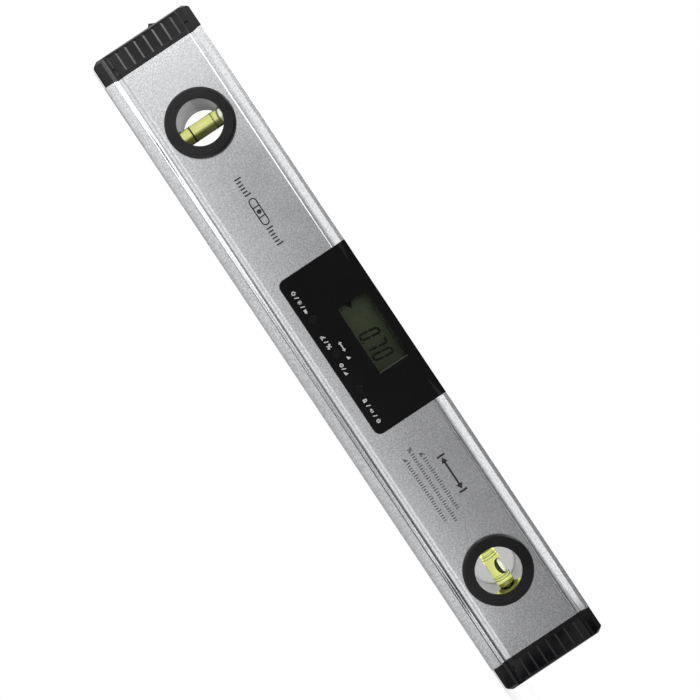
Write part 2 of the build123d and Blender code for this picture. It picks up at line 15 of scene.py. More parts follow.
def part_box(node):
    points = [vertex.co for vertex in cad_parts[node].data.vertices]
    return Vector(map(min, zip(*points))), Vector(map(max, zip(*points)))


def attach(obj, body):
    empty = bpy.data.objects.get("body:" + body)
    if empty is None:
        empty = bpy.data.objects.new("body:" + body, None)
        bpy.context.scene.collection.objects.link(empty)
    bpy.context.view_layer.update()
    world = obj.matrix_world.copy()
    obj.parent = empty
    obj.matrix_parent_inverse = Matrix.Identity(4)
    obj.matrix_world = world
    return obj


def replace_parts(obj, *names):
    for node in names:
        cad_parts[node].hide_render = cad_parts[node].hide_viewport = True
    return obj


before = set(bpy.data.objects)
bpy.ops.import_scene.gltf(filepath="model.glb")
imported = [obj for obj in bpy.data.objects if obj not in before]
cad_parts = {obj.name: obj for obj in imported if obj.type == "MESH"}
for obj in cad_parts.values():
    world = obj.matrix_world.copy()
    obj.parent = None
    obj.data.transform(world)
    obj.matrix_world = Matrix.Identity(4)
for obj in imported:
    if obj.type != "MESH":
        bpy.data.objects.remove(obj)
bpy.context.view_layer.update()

LOG = logging.getLogger("spirit_level")
MM = 0.001
FIXED_BODY = "frame"

Color = tuple[float, float, float]
Point = tuple[float, float]
Triple = tuple[float, float, float]
Socket = bpy.types.NodeSocket
Sockets = bpy.types.bpy_prop_collection
Piece = bpy.types.Object

WHITE: Color = (1.0, 1.0, 1.0)
BLACK: Color = (0.0, 0.0, 0.0)
EVEN: Triple = (1.0, 1.0, 1.0)


class Axis(Enum):
    """Direction that a turned piece runs along, as an index into a vector."""

    X = 0
    Z = 2


class Icon(Enum):
    """Plain pictograms that stand where the real object carries words."""

    POWER = "power"
    SUN = "sun"
    BATTERY = "battery"
    ANGLE = "angle"
    PERCENT = "percent"
    SLOPE = "slope"
    ZERO = "zero"
    LOCK = "lock"
    SPEAKER = "speaker"
    SLASH = "slash"
    ARROWS = "arrows"


@dataclass(frozen=True)
class Sweep:
    """A smooth change of a value, from start at a first place to end at a last one, on either side of it."""

    first: float
    last: float
    start: float = 0.0
    end: float = 1.0


class Graph:
    """A node tree with short calls to add nodes and join them."""

    def __init__(self, tree: bpy.types.NodeTree) -> None:
        """Keep the tree and start it empty."""
        self.tree = tree
        tree.nodes.clear()

    def add(self, kind: str, inputs: dict[Any, Any] | None = None, **settings: Any) -> bpy.types.Node:
        """Add a node and fill its inputs.

        Args:
            kind: Blender's name of the node type.
            inputs: Value of each input by name or number; another node's output is linked.
            settings: Node properties, such as an operation.

        Returns:
            The new node.
        """
        node = self.tree.nodes.new(kind)
        for name, value in settings.items():
            setattr(node, name, value)
        for socket, value in (inputs or {}).items():
            if isinstance(value, Socket):
                self.tree.links.new(value, node.inputs[socket])
            else:
                node.inputs[socket].default_value = value
        return node

    def math(self, operation: str, first: Any, *others: Any) -> Socket:
        """Join numbers or outputs in order by one math operation.

        Args:
            operation: Blender's name of the operation.
            first: The first number or output.
            others: What follows it; an operation on one value has none.

        Returns:
            The value output.
        """
        for other in others or (0.0,):
            first = self.add("ShaderNodeMath", {0: first, 1: other}, operation=operation).outputs[0]
        return first

    def ramp(self, value: Socket, sweep: Sweep) -> Socket:
        """Carry an output smoothly through a sweep."""
        inputs = {
            "Value": value,
            "From Min": sweep.first,
            "From Max": sweep.last,
            "To Min": sweep.start,
            "To Max": sweep.end,
        }
        return self.add("ShaderNodeMapRange", inputs, interpolation_type="SMOOTHSTEP").outputs[0]

    def within(self, first: tuple[Socket, Sweep], second: tuple[Socket, Sweep]) -> Socket:
        """Multiply two ramps, each of an output and its sweep."""
        return self.math("MULTIPLY", self.ramp(*first), self.ramp(*second))

    def mix(self, share: Socket, first: Any, second: Any) -> Socket:
        """Mix two colours or outputs, by the second one's share."""
        inputs = {0: share, 6: opaque(first), 7: opaque(second)}
        return self.add("ShaderNodeMix", inputs, data_type="RGBA").outputs[2]

    def blend(self, share: Socket, first: Any, second: Any) -> Socket:
        """Mix two values or outputs, by the second one's share."""
        return self.add("ShaderNodeMix", {0: share, 2: first, 3: second}, data_type="FLOAT").outputs[0]

    def place(self, coordinates: str = "Object") -> Sockets:
        """Add coordinates and give their X, Y and Z outputs."""
        source = self.add("ShaderNodeTexCoord").outputs[coordinates]
        return self.add("ShaderNodeSeparateXYZ", {0: source}).outputs

    def grain(self, scale: float, stretch: Triple = EVEN) -> Sockets:
        """Place the shared grain and give its outputs."""
        inputs = {"Grain": scale, "Stretch": stretch}
        return self.add("ShaderNodeGroup", inputs, node_tree=SharedGroup.surface_grain()).outputs

    def bump(self, depth: float, inputs: dict[str, Socket]) -> Socket:
        """Add a bump with a depth in millimetres and give its normal."""
        inputs = inputs | {"Strength": 1.0, "Distance": depth * MM}
        return self.add("ShaderNodeBump", inputs).outputs[0]

    def principled(self, inputs: dict[str, Any]) -> Socket:
        """Add a Principled shader and give its output."""
        return self.add("ShaderNodeBsdfPrincipled", inputs).outputs[0]


def opaque(color: Any) -> Any:
    """Give a plain colour its alpha of 1, and pass an output through."""
    return (*color, 1.0) if isinstance(color, tuple) else color


class SharedGroup:
    """A shader node group that several finishes use, built once."""

    CONTRAST = Sweep(0.3, 0.7)
    BROAD_SHARE = 0.03
    EDGE_TURN = Sweep(0.995, 0.85)

    @classmethod
    def start(cls, name: str, inputs: dict[str, str], outputs: dict[str, str]) -> tuple[Graph, Sockets]:
        """Make an empty group with its sockets.

        Args:
            name: Name of the group.
            inputs: Socket type of each input by name.
            outputs: Socket type of each output by name.

        Returns:
            The graph of the group, and what comes in through its inputs.
        """
        tree = bpy.data.node_groups.new(name, "ShaderNodeTree")
        for label, kind in inputs.items():
            tree.interface.new_socket(label, in_out="INPUT", socket_type=kind)
        for label, kind in outputs.items():
            tree.interface.new_socket(label, in_out="OUTPUT", socket_type=kind)
        graph = Graph(tree)
        return graph, graph.add("NodeGroupInput").outputs

    @classmethod
    @cache
    def surface_grain(cls) -> bpy.types.NodeTree:
        """Fine speckle, broad drift and grain height over a surface.

        Returns:
            The group, with inputs Grain and Stretch and outputs Fine, Broad and Height.
        """
        inputs = {"Grain": "NodeSocketFloat", "Stretch": "NodeSocketVector"}
        outputs = dict.fromkeys(("Fine", "Broad", "Height"), "NodeSocketFloat")
        graph, given = cls.start("surface_grain", inputs, outputs)
        place = graph.add("ShaderNodeTexCoord").outputs["Object"]
        drawn = graph.add("ShaderNodeVectorMath", {0: place, 1: given["Stretch"]}, operation="MULTIPLY")
        speckle = {"Vector": drawn.outputs[0], "Scale": given["Grain"], "Detail": 3.0, "Roughness": 0.65}
        fine = graph.add("ShaderNodeTexNoise", speckle).outputs[0]
        wide = graph.math("MULTIPLY", given["Grain"], cls.BROAD_SHARE)
        broad = graph.add("ShaderNodeTexNoise", {"Vector": place, "Scale": wide, "Detail": 2.0}).outputs[0]
        spread = {"Fine": graph.ramp(fine, cls.CONTRAST), "Broad": graph.ramp(broad, cls.CONTRAST)}
        graph.add("NodeGroupOutput", spread | {"Height": fine})
        return graph.tree

    @classmethod
    @cache
    def worn_edges(cls) -> bpy.types.NodeTree:
        """Softened edge normals, and a mask of the edges that hands rub.

        Returns:
            The group, with input Radius and outputs Normal and Wear.
        """
        outputs = {"Normal": "NodeSocketVector", "Wear": "NodeSocketFloat"}
        graph, given = cls.start("worn_edges", {"Radius": "NodeSocketFloat"}, outputs)
        soft = graph.add("ShaderNodeBevel", {"Radius": given["Radius"]}, samples=4).outputs[0]
        flat = graph.add("ShaderNodeNewGeometry").outputs["Normal"]
        turn = graph.add("ShaderNodeVectorMath", {0: soft, 1: flat}, operation="DOT_PRODUCT")
        wear = graph.ramp(turn.outputs["Value"], cls.EDGE_TURN)
        graph.add("NodeGroupOutput", {"Normal": soft, "Wear": wear})
        return graph.tree


@dataclass(frozen=True)
class Finish:
    """A look that becomes one material, whichever pieces share it."""

    name: str
    sampling: ClassVar[str] = "AUTO"

    @cache
    def material(self) -> bpy.types.Material:
        """Build the material once.

        Returns:
            The material.
        """
        material = bpy.data.materials.new(self.name)
        material.use_nodes = True
        material.cycles.emission_sampling = self.sampling
        graph = Graph(material.node_tree)
        graph.add("ShaderNodeOutputMaterial", {"Surface": self.shader(graph)})
        return material

    def shader(self, graph: Graph) -> Socket:
        """Add the finish's nodes to its graph and give the shader's output."""
        raise NotImplementedError


@dataclass(frozen=True)
class SolidFinish(Finish):
    """An opaque finish with grain, a second tone and softened edges. Sizes are in millimetres."""

    color: Color
    second: Color
    roughness: float
    roughness_spread: float = 0.08
    metallic: float = 0.0
    specular: float = 0.5
    coat: float = 0.0
    grain: float = 900.0
    stretch: Triple = EVEN
    grain_depth: float = 0.01
    edge_radius: float = 0.2
    edge_color: Color | None = None
    transmission: float = 0.0

    def shader(self, graph: Graph) -> Socket:
        """Add the nodes.

        Args:
            graph: Graph of the material.

        Returns:
            The shader's output.
        """
        grain = graph.grain(self.grain, self.stretch)
        radius = {"Radius": self.edge_radius * MM}
        edges = graph.add("ShaderNodeGroup", radius, node_tree=SharedGroup.worn_edges()).outputs
        color = self.toned(graph, graph.mix(grain["Fine"], self.color, self.second))
        if self.edge_color:
            color = graph.mix(edges["Wear"], color, self.edge_color)
        low, high = self.roughness - self.roughness_spread, self.roughness + self.roughness_spread
        shader_inputs = {
            "Base Color": color,
            "Roughness": graph.ramp(grain["Broad"], Sweep(0.0, 1.0, low, high)),
            "Metallic": self.metallic,
            "Specular IOR Level": self.specular,
            "Coat Weight": self.coat,
            "Transmission Weight": self.transmission,
            "Normal": graph.bump(self.grain_depth, {"Height": grain["Height"], "Normal": edges["Normal"]}),
        }
        return graph.principled(shader_inputs)

    def toned(self, graph: Graph, color: Socket) -> Socket:
        """Pass the colour on as it is; other finishes may change it over the surface."""
        return color


@dataclass(frozen=True)
class DisplayFinish(SolidFinish):
    """A display's glass, whose colour changes along it. Places are in millimetres."""

    far_color: Color = BLACK
    far_span: Point = (0.0, 1.0)

    def toned(self, graph: Graph, color: Socket) -> Socket:
        """Change the even colour along the glass and give the new output."""
        span = Sweep(*(edge * MM for edge in self.far_span))
        return graph.mix(graph.ramp(graph.place()["X"], span), color, self.far_color)


@dataclass(frozen=True)
class ClearFinish(Finish):
    """A clear plastic with a faint ripple from its mould, which lamps shine through.

    A vial's rear half also carries the tint of its liquid and a painted glow, light that it emits for all
    but diffuse rays, so the bubble stands clear of them.
    Past a place along X the liquid may get painted shade, a darker tint standing in for the shaded side of
    the tube, given as start and end for rear and front, in millimetres.
    Rear and front run into each other over the seam, also in millimetres.
    """

    sampling: ClassVar[str] = "NONE"
    color: Color
    ior: float
    glow: Color
    painted_shade: Color | None = None
    painted_shade_span: Point = (0.0, 1.0)
    front_painted_shade: Color = (0.20, 0.20, 0.12)
    front_painted_span: Point = (0.0, 1.0)
    seam: float = 0.4
    grain: float = 120.0
    ripple: float = 0.002

    def shader(self, graph: Graph) -> Socket:
        """Add the nodes.

        Args:
            graph: Graph of the material.

        Returns:
            The shader's output.
        """
        light = graph.add("ShaderNodeLightPath").outputs
        place = graph.place()
        rear = graph.ramp(place["Y"], Sweep(-self.seam * MM, self.seam * MM))
        tint, shine, front = self.color, self.glow, WHITE
        # Painted shade: past a place along X the rear's tint and glow turn dark, and the front darkens too.
        if self.painted_shade:
            spans = (Sweep(*(edge * MM for edge in span)) for span in (self.painted_shade_span, self.front_painted_span))
            behind, before = (graph.ramp(place["X"], span) for span in spans)
            tint, shine = graph.mix(behind, tint, self.painted_shade), graph.mix(behind, shine, BLACK)
            front = graph.mix(before, front, self.front_painted_shade)
        shader_inputs = {
            "Base Color": graph.mix(rear, front, tint),
            "Roughness": 0.0,
            "IOR": self.ior,
            "Transmission Weight": 1.0,
            # Painted glow: the rear half emits its own light, which diffuse rays don't see.
            "Emission Color": graph.mix(rear, BLACK, shine),
            "Emission Strength": graph.math("SUBTRACT", 1.0, light["Is Diffuse Ray"]),
            "Normal": graph.bump(self.ripple, {"Height": graph.grain(self.grain)["Height"]}),
        }
        shader = graph.principled(shader_inputs)
        passing = graph.add("ShaderNodeBsdfTransparent", {"Color": opaque(self.color)}).outputs[0]
        either = {0: light["Is Shadow Ray"], 1: shader, 2: passing}
        return graph.add("ShaderNodeMixShader", either).outputs[0]


@dataclass(frozen=True)
class PaneFinish(Finish):
    """A thin clear pane with a faint gloss and a few smears, which lets the piece behind it show."""

    color: Color
    cover: Point
    roughness: Point
    grain: float = 900.0

    def shader(self, graph: Graph) -> Socket:
        """Add the nodes.

        Args:
            graph: Graph of the material.

        Returns:
            The shader's output.
        """
        smears = graph.grain(self.grain)["Broad"]
        shader_inputs = {
            "Base Color": opaque(self.color),
            "Roughness": graph.ramp(smears, Sweep(0.0, 1.0, *self.roughness)),
            "Alpha": graph.ramp(smears, Sweep(0.0, 1.0, *self.cover)),
        }
        return graph.principled(shader_inputs)


@dataclass(frozen=True)
class AirFinish(Finish):
    """An air bubble with painted light: pale where it would mirror the light above, a painted reflection,
    and a painted dark rim round its lower side; both glow a little.
    """

    pale: Color
    painted_rim_shade: Color
    painted_rim_span: Point = (0.28, 0.48)
    lift: float = 0.35

    def shader(self, graph: Graph) -> Socket:
        """Add the nodes.

        Args:
            graph: Graph of the material.

        Returns:
            The shader's output.
        """
        facing = graph.add("ShaderNodeLayerWeight", {"Blend": 0.5}).outputs["Facing"]
        normal = graph.add("ShaderNodeNewGeometry").outputs["Normal"]
        up = graph.add("ShaderNodeSeparateXYZ", {0: normal}).outputs["Z"]
        turned = graph.math("SUBTRACT", facing, graph.math("MULTIPLY", up, self.lift))
        # Painted reflection and painted shade: pale where the surface faces the view and upwards, dark at
        # the lower rim.
        color = graph.mix(graph.ramp(turned, Sweep(*self.painted_rim_span)), self.pale, self.painted_rim_shade)
        shader_inputs = {
            "Base Color": color,
            "Roughness": 0.1,
            "IOR": 1.05,
            "Transmission Weight": 0.35,
            # The painted colour also glows.
            "Emission Color": color,
            "Emission Strength": 0.45,
        }
        return graph.principled(shader_inputs)


LIQUID_IOR = 1.42

ALUMINIUM = SolidFinish(
    "satin_aluminium", (0.93, 0.935, 0.955), (0.65, 0.655, 0.67), 0.26, roughness_spread=0.015,
    metallic=1.0, grain=1150.0, grain_depth=0.016, edge_color=(0.82, 0.825, 0.84),
)
CAP_PLASTIC = SolidFinish(
    "cap_plastic", (0.0022, 0.0022, 0.0030), (0.0036, 0.0036, 0.0046), 0.22, specular=0.42, grain=2200.0,
    grain_depth=0.006, edge_radius=0.3, edge_color=(0.010, 0.010, 0.012),
)
RING_PLASTIC = SolidFinish(
    "ring_plastic", (0.0030, 0.0030, 0.0034), (0.0046, 0.0046, 0.0052), 0.28, specular=0.43, grain=1800.0,
    grain_depth=0.006, edge_radius=0.25, edge_color=(0.010, 0.010, 0.011),
)
TURNED_SLEEVE = SolidFinish(
    "turned_sleeve", (0.25, 0.245, 0.245), (0.12, 0.118, 0.118), 0.34, metallic=1.0,
    stretch=(0.12, 4.0, 0.12), grain_depth=0.02, edge_radius=0.1,
)
BRIGHT_SLEEVE = SolidFinish(
    "bright_sleeve", (0.62, 0.62, 0.61), (0.54, 0.54, 0.53), 0.14, roughness_spread=0.05, metallic=1.0,
    stretch=(0.12, 4.0, 0.12), grain_depth=0.004, edge_radius=0.1,
)
GREY_BACKING = SolidFinish(
    "grey_backing", (0.80, 0.80, 0.81), (0.74, 0.74, 0.75), 0.75, specular=0.3, grain=1400.0,
    edge_radius=0.1, transmission=0.85,
)
# Painted glow and painted shade on the plumb tube: it emits light, and its liquid darkens past a place along
# X.
PLUMB_PAINTED_GLOW_AND_SHADE = ClearFinish(
    "plumb_painted_glow_and_shade", (0.42, 0.46, 0.06), LIQUID_IOR, glow=(0.05, 0.05, 0.01), painted_shade=(0.02, 0.021, 0.002),
    painted_shade_span=(-144.3, -143.3), front_painted_span=(-142.4, -140.6),
)
# Painted glow on the level tube: its rear half emits light.
LEVEL_PAINTED_GLOW = ClearFinish("level_painted_glow", (0.36, 0.39, 0.05), LIQUID_IOR, glow=(0.38, 0.40, 0.10))
PLUMB_AIR = AirFinish("plumb_air_painted_light", (0.90, 0.91, 0.87), (0.16, 0.165, 0.06))
LEVEL_AIR = AirFinish(
    "level_air_painted_light", (0.90, 0.91, 0.87), (0.010, 0.011, 0.004), painted_rim_span=(0.04, 0.14), lift=0.6,
)
VIAL_PLUG = SolidFinish(
    "vial_plug", (0.60, 0.63, 0.12), (0.54, 0.56, 0.10), 0.4, grain=1500.0, edge_radius=0.1,
)
# Printed reading lines, and also painted shade on the level tube's ends.
BLACK_PRINT_AND_SHADE = SolidFinish(
    "black_print_and_shade", (0.012, 0.012, 0.012), (0.018, 0.018, 0.018), 0.5, specular=0.3, grain=2500.0,
    grain_depth=0.002, edge_radius=0.03,
)
FASCIA_GLOSS = SolidFinish(
    "fascia_gloss", (0.0020, 0.0020, 0.0022), (0.0028, 0.0028, 0.0030), 0.16, roughness_spread=0.05,
    specular=0.2, grain=700.0, grain_depth=0.001,
)
KEY_RUBBER = SolidFinish(
    "key_rubber", (0.0024, 0.0024, 0.0026), (0.0034, 0.0034, 0.0036), 0.3, specular=0.21, grain=2000.0,
    grain_depth=0.006, edge_radius=0.15, edge_color=(0.007, 0.007, 0.007),
)
HOUSING_PLASTIC = SolidFinish(
    "housing_plastic", (0.014, 0.014, 0.015), (0.02, 0.02, 0.021), 0.5, specular=0.4, grain=1600.0,
    grain_depth=0.02, edge_radius=0.25, edge_color=(0.03, 0.03, 0.031),
)
PANE_CLEAR = PaneFinish("pane_clear", (0.004, 0.005, 0.004), cover=(0.05, 0.08), roughness=(0.03, 0.10))
LCD_GLASS = DisplayFinish(
    "lcd_glass", (0.040, 0.049, 0.0265), (0.035, 0.043, 0.024), 0.3, specular=0.15, grain=260.0,
    grain_depth=0.0, edge_radius=0.05, far_color=(0.026, 0.032, 0.018), far_span=(-10.0, 20.0),
)
LCD_DARK = SolidFinish(
    "lcd_dark", (0.0050, 0.0060, 0.0038), (0.0060, 0.0070, 0.0046), 0.35, specular=0.1,
    grain_depth=0.0, edge_radius=0.02,
)
# Painted highlight: a pale strip that stands in for the lit right wall of the display's recess.
PAINTED_GLINT_EDGE = SolidFinish(
    "painted_glint_edge", (0.09, 0.09, 0.078), (0.078, 0.078, 0.066), 0.4, specular=0.3, edge_radius=0.05,
)
BACKLIGHT = SolidFinish(
    "backlight_plastic", (0.78, 0.80, 0.74), (0.70, 0.72, 0.66), 0.35, grain=1200.0, edge_radius=0.1,
)
LED_PLASTIC = SolidFinish(
    "led_plastic", (0.85, 0.82, 0.62), (0.80, 0.76, 0.55), 0.3, grain=1500.0, edge_radius=0.1,
)
ZEBRA_RUBBER = SolidFinish(
    "zebra_rubber", (0.55, 0.55, 0.55), (0.05, 0.05, 0.05), 0.6, grain=4000.0, stretch=(1.0, 0.02, 0.02),
    edge_radius=0.1,
)
BOARD_GREEN = SolidFinish(
    "board_green", (0.012, 0.10, 0.035), (0.018, 0.13, 0.045), 0.32, grain=1400.0, stretch=(1.0, 1.0, 0.25),
    edge_radius=0.08, edge_color=(0.16, 0.20, 0.09),
)
CHIP_BLACK = SolidFinish(
    "chip_black", (0.018, 0.018, 0.019), (0.028, 0.028, 0.029), 0.55, grain=2600.0, edge_radius=0.1,
    edge_color=(0.05, 0.05, 0.05),
)
STEEL = SolidFinish(
    "plated_steel", (0.66, 0.66, 0.66), (0.56, 0.56, 0.55), 0.28, metallic=1.0, grain=1600.0,
    stretch=(0.3, 1.0, 1.0), edge_radius=0.12, edge_color=(0.78, 0.78, 0.78),
)
CELL_WRAP = SolidFinish(
    "cell_wrap", (0.10, 0.13, 0.16), (0.08, 0.11, 0.14), 0.3, coat=0.3, grain=500.0,
    edge_color=(0.35, 0.36, 0.37),
)
WHITE_INK = SolidFinish(
    "white_ink", (0.50, 0.50, 0.50), (0.42, 0.42, 0.42), 0.5, specular=0.2, grain=3000.0, grain_depth=0.002,
    edge_radius=0.01,
)
BLACK_INK = SolidFinish(
    "black_ink", (0.016, 0.016, 0.017), (0.030, 0.030, 0.031), 0.5, specular=0.25, grain=3000.0,
    grain_depth=0.002, edge_radius=0.01,
)
GREY_INK = SolidFinish(
    "grey_ink", (0.075, 0.075, 0.077), (0.11, 0.11, 0.112), 0.5, specular=0.25, grain=3000.0,
    grain_depth=0.002, edge_radius=0.01,
)


def dress(finish: Finish, *nodes: str) -> list[Piece]:
    """Give CAD nodes a finish.

    Args:
        finish: The finish.
        nodes: Names of the nodes.

    Returns:
        The dressed pieces.
    """
    dressed = [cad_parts[name] for name in nodes]
    for piece in dressed:
        piece.data.materials.clear()
        piece.data.materials.append(finish.material())
    return dressed


def placed(name: str, data: bpy.types.ID) -> bpy.types.Object:
    """Make an object of its data and put it in the scene.

    Args:
        name: Name of the object.
        data: Its mesh, lamp or camera.

    Returns:
        The new object.
    """
    made = bpy.data.objects.new(name, data)
    bpy.context.scene.collection.objects.link(made)
    return made


def mesh_object(name: str, mesh: bmesh.types.BMesh, finish: Finish) -> bpy.types.Object:
    """Turn a finished mesh into an object.

    Args:
        name: Name of the object.
        mesh: The mesh, in metres in the shared frame; it is used up.
        finish: The finish it gets.

    Returns:
        The new object.
    """
    data = bpy.data.meshes.new(name)
    mesh.to_mesh(data)
    mesh.free()
    data.materials.append(finish.material())
    return placed(name, data)


def mesh_piece(name: str, mesh: bmesh.types.BMesh, finish: Finish, body: str) -> Piece:
    """Turn a finished mesh into a piece that rides on a body.

    Args:
        name: Name of the piece.
        mesh: The mesh, in metres in the shared frame; it is used up.
        finish: The finish it gets.
        body: The CAD body it moves with.

    Returns:
        The new piece.
    """
    bmesh.ops.recalc_face_normals(mesh, faces=mesh.faces)
    piece = mesh_object(name, mesh, finish)
    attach(piece, body)
    return piece


def turns(count: int) -> list[float]:
    """Divide a full turn into equal angles, in radians."""
    return [2.0 * math.pi * step / count for step in range(count)]


@dataclass
class TurnedPiece:
    """A closed round solid, turned about an axis through a centre. Sizes are in millimetres."""

    name: str
    axis: Axis
    centre: Vector
    outline: list[Point]
    squeeze: Point = (1.0, 1.0)
    around: int = 64

    def mesh(self) -> bmesh.types.BMesh:
        """Turn the outline of (along, radius) points, which starts and ends on the axis.

        Returns:
            The mesh, in metres.
        """
        turned = bmesh.new()
        rings = [self.ring(turned, along, radius) for along, radius in self.outline[1:-1]]
        for near, far in zip(rings, rings[1:]):
            for side in range(self.around):
                following = (side + 1) % self.around
                turned.faces.new((near[side], near[following], far[following], far[side]))
        for along, ring in ((self.outline[0][0], rings[0]), (self.outline[-1][0], rings[-1])):
            tip = turned.verts.new(self.place(along, 0.0, 0.0))
            for side in range(self.around):
                turned.faces.new((ring[side], ring[(side + 1) % self.around], tip))
        for face in turned.faces:
            face.smooth = True
        return turned

    def piece(self, finish: Finish, slot: str, body: str = FIXED_BODY) -> Piece:
        """Finish the solid as one piece."""
        return mesh_piece(self.name, self.mesh(), finish, body)

    def ring(self, mesh: bmesh.types.BMesh, along: float, radius: float) -> list[bmesh.types.BMVert]:
        """Add one ring of points to a mesh and give them in order round the axis."""
        places = [(radius * math.cos(turn), radius * math.sin(turn)) for turn in turns(self.around)]
        return [mesh.verts.new(self.place(along, across, other)) for across, other in places]

    def place(self, along: float, across: float, other: float) -> Vector:
        """Find a point from its place along the axis, in depth and across both.

        Args:
            along: Place along the axis.
            across: Place in depth.
            other: Place across axis and depth.

        Returns:
            The point, in metres in the shared frame.
        """
        depth, height = across * self.squeeze[0], other * self.squeeze[1]
        if self.axis is Axis.X:
            return self.centre + Vector((along, depth, height)) * MM
        return self.centre + Vector((height, depth, along)) * MM


@dataclass
class FlatArt:
    """Thin flat shapes on an upright face that looks forward. Places are (x, z) in millimetres.

    A pictogram's line is a share of its height. Short scale lines are a share of the long ones, and the
    width of a scale line is a share of the pitch.
    """

    name: str
    face: float
    thickness: float = 0.03
    sink: float = 0.01
    disc_sides: int = 24
    arc_step: float = 10.0
    arc_sides: int = 8
    icon_line: float = 0.25
    sun_rays: int = 8
    tick_group: int = 5
    tick_short: float = 0.72
    tick_width: float = 0.42
    mesh: bmesh.types.BMesh = field(default_factory=bmesh.new)

    def layers(self, points: list[Point]) -> tuple[list[Any], list[Any]]:
        """Add points on the front and the back of the film and give both lists."""
        front, back = self.face - self.thickness, self.face + self.sink
        return tuple([self.mesh.verts.new(Vector((x, y, z)) * MM) for x, z in points] for y in (front, back))

    def shape(self, points: list[Point]) -> None:
        """Add a filled convex shape.

        Args:
            points: Its corners in order.
        """
        front, back = self.layers(points)
        self.mesh.faces.new(front)
        self.mesh.faces.new(back[::-1])
        for here in range(len(points)):
            following = (here + 1) % len(points)
            self.mesh.faces.new((front[here], back[here], back[following], front[following]))

    def band(self, outer: list[Point], inner: list[Point], closed: bool) -> None:
        """Add a band between two lines with the same number of points.

        Args:
            outer: One side of the band.
            inner: The other side.
            closed: Whether the band runs back into itself.
        """
        count = len(outer)
        outer_front, outer_back = self.layers(outer)
        inner_front, inner_back = self.layers(inner)
        for here in range(count if closed else count - 1):
            following = (here + 1) % count
            for near, far in (
                (outer_front, inner_front), (inner_front, inner_back), (inner_back, outer_back),
                (outer_back, outer_front),
            ):
                self.mesh.faces.new((near[here], far[here], far[following], near[following]))
        if not closed:
            for end in (0, count - 1):
                self.mesh.faces.new((outer_front[end], inner_front[end], inner_back[end], outer_back[end]))

    @staticmethod
    def circle(centre: Point, radius: float, angles: list[float]) -> list[Point]:
        """Find the points of a circle at angles in radians."""
        return [(centre[0] + radius * math.cos(a), centre[1] + radius * math.sin(a)) for a in angles]

    def bar(self, start: Point, end: Point, width: float) -> None:
        """Add a straight bar.

        Args:
            start: Middle of one end.
            end: Middle of the other end.
            width: Width of the bar.
        """
        along = (Vector(end) - Vector(start)).normalized()
        side = Vector((-along.y, along.x)) * width / 2.0
        first, last = Vector(start), Vector(end)
        self.shape([tuple(p) for p in (first + side, first - side, last - side, last + side)])

    def arc(
        self, centre: Point, radius: float, width: float, start: float = 0.0, sweep: float = 360.0,
    ) -> None:
        """Add a ring or part of one.

        Args:
            centre: Centre of the ring.
            radius: Radius of the middle of its line.
            width: Width of its line.
            start: Angle at which it starts, in degrees from +X.
            sweep: Angle that it covers, in degrees.
        """
        closed = sweep >= 360.0
        steps = max(self.arc_sides, round(sweep / self.arc_step))
        count = steps if closed else steps + 1
        angles = [math.radians(start + sweep * step / steps) for step in range(count)]
        outer, inner = radius + width / 2.0, radius - width / 2.0
        self.band(self.circle(centre, outer, angles), self.circle(centre, inner, angles), closed)

    def disc(self, centre: Point, radius: float) -> None:
        """Add a filled disc."""
        self.shape(self.circle(centre, radius, turns(self.disc_sides)))

    def icon(self, icon: Icon, centre: Point, height: float) -> None:
        """Draw a pictogram, whose parts are shares of half its height.

        Args:
            icon: Which pictogram.
            centre: Its middle.
            height: Its height.
        """
        half, line = height / 2.0, height * self.icon_line

        def spot(across: float, up: float) -> Point:
            """Find a place from its shares of half the height."""
            return centre[0] + across * half, centre[1] + up * half

        if icon is Icon.POWER:
            self.arc(spot(0.0, -0.1), 0.78 * half, line, 130.0, 280.0)
            self.bar(centre, spot(0.0, 1.0), line)
        elif icon is Icon.SUN:
            self.disc(centre, 0.42 * half)
            for across, up in self.circle((0.0, 0.0), 1.0, turns(self.sun_rays)):
                self.bar(spot(0.62 * across, 0.62 * up), spot(across, up), line * 0.8)
        elif icon is Icon.BATTERY:
            self.bar(spot(-1.0, 0.0), spot(0.8, 0.0), 1.3 * half)
            self.bar(spot(0.88, 0.0), spot(1.1, 0.0), 0.6 * half)
        elif icon is Icon.ANGLE:
            self.bar(spot(-1.0, -0.9), spot(1.0, -0.9), line)
            self.bar(spot(-1.0, -0.75), spot(0.7, 0.9), line)
            self.arc(spot(-1.0, -0.9), 1.2 * half, line, 8.0, 36.0)
        elif icon is Icon.PERCENT:
            for side in (-1.0, 1.0):
                self.arc(spot(side * 0.62, side * -0.55), 0.34 * half, line * 0.9)
            self.bar(spot(-0.7, -1.0), spot(0.7, 1.0), line)
        elif icon is Icon.SLOPE:
            self.shape([spot(-1.0, -1.0), spot(1.0, -1.0), spot(1.0, 0.8)])
        elif icon is Icon.ZERO:
            self.arc(centre, 0.72 * half, line)
            self.disc(centre, 0.24 * half)
        elif icon is Icon.LOCK:
            self.bar(spot(-0.8, -0.4), spot(0.8, -0.4), 1.2 * half)
            self.arc(spot(0.0, 0.26), 0.5 * half, line, 0.0, 180.0)
        elif icon is Icon.SPEAKER:
            self.bar(spot(-1.0, 0.0), spot(-0.55, 0.0), 0.8 * half)
            self.shape([spot(-0.5, 0.4), spot(-0.5, -0.4), spot(0.1, -0.95), spot(0.1, 0.95)])
            self.arc(centre, 0.75 * half, line, -50.0, 100.0)
        elif icon is Icon.SLASH:
            self.bar(spot(-0.4, -1.0), spot(0.4, 1.0), line)
        elif icon is Icon.ARROWS:
            self.bar(spot(-1.6, 0.0), spot(1.6, 0.0), line * 1.2)
            for side in (-1.0, 1.0):
                head = [spot(side * 1.5, 1.0), spot(side * 1.5, -1.0), spot(side * 2.6, 0.0)]
                self.shape(head[:: int(side)])

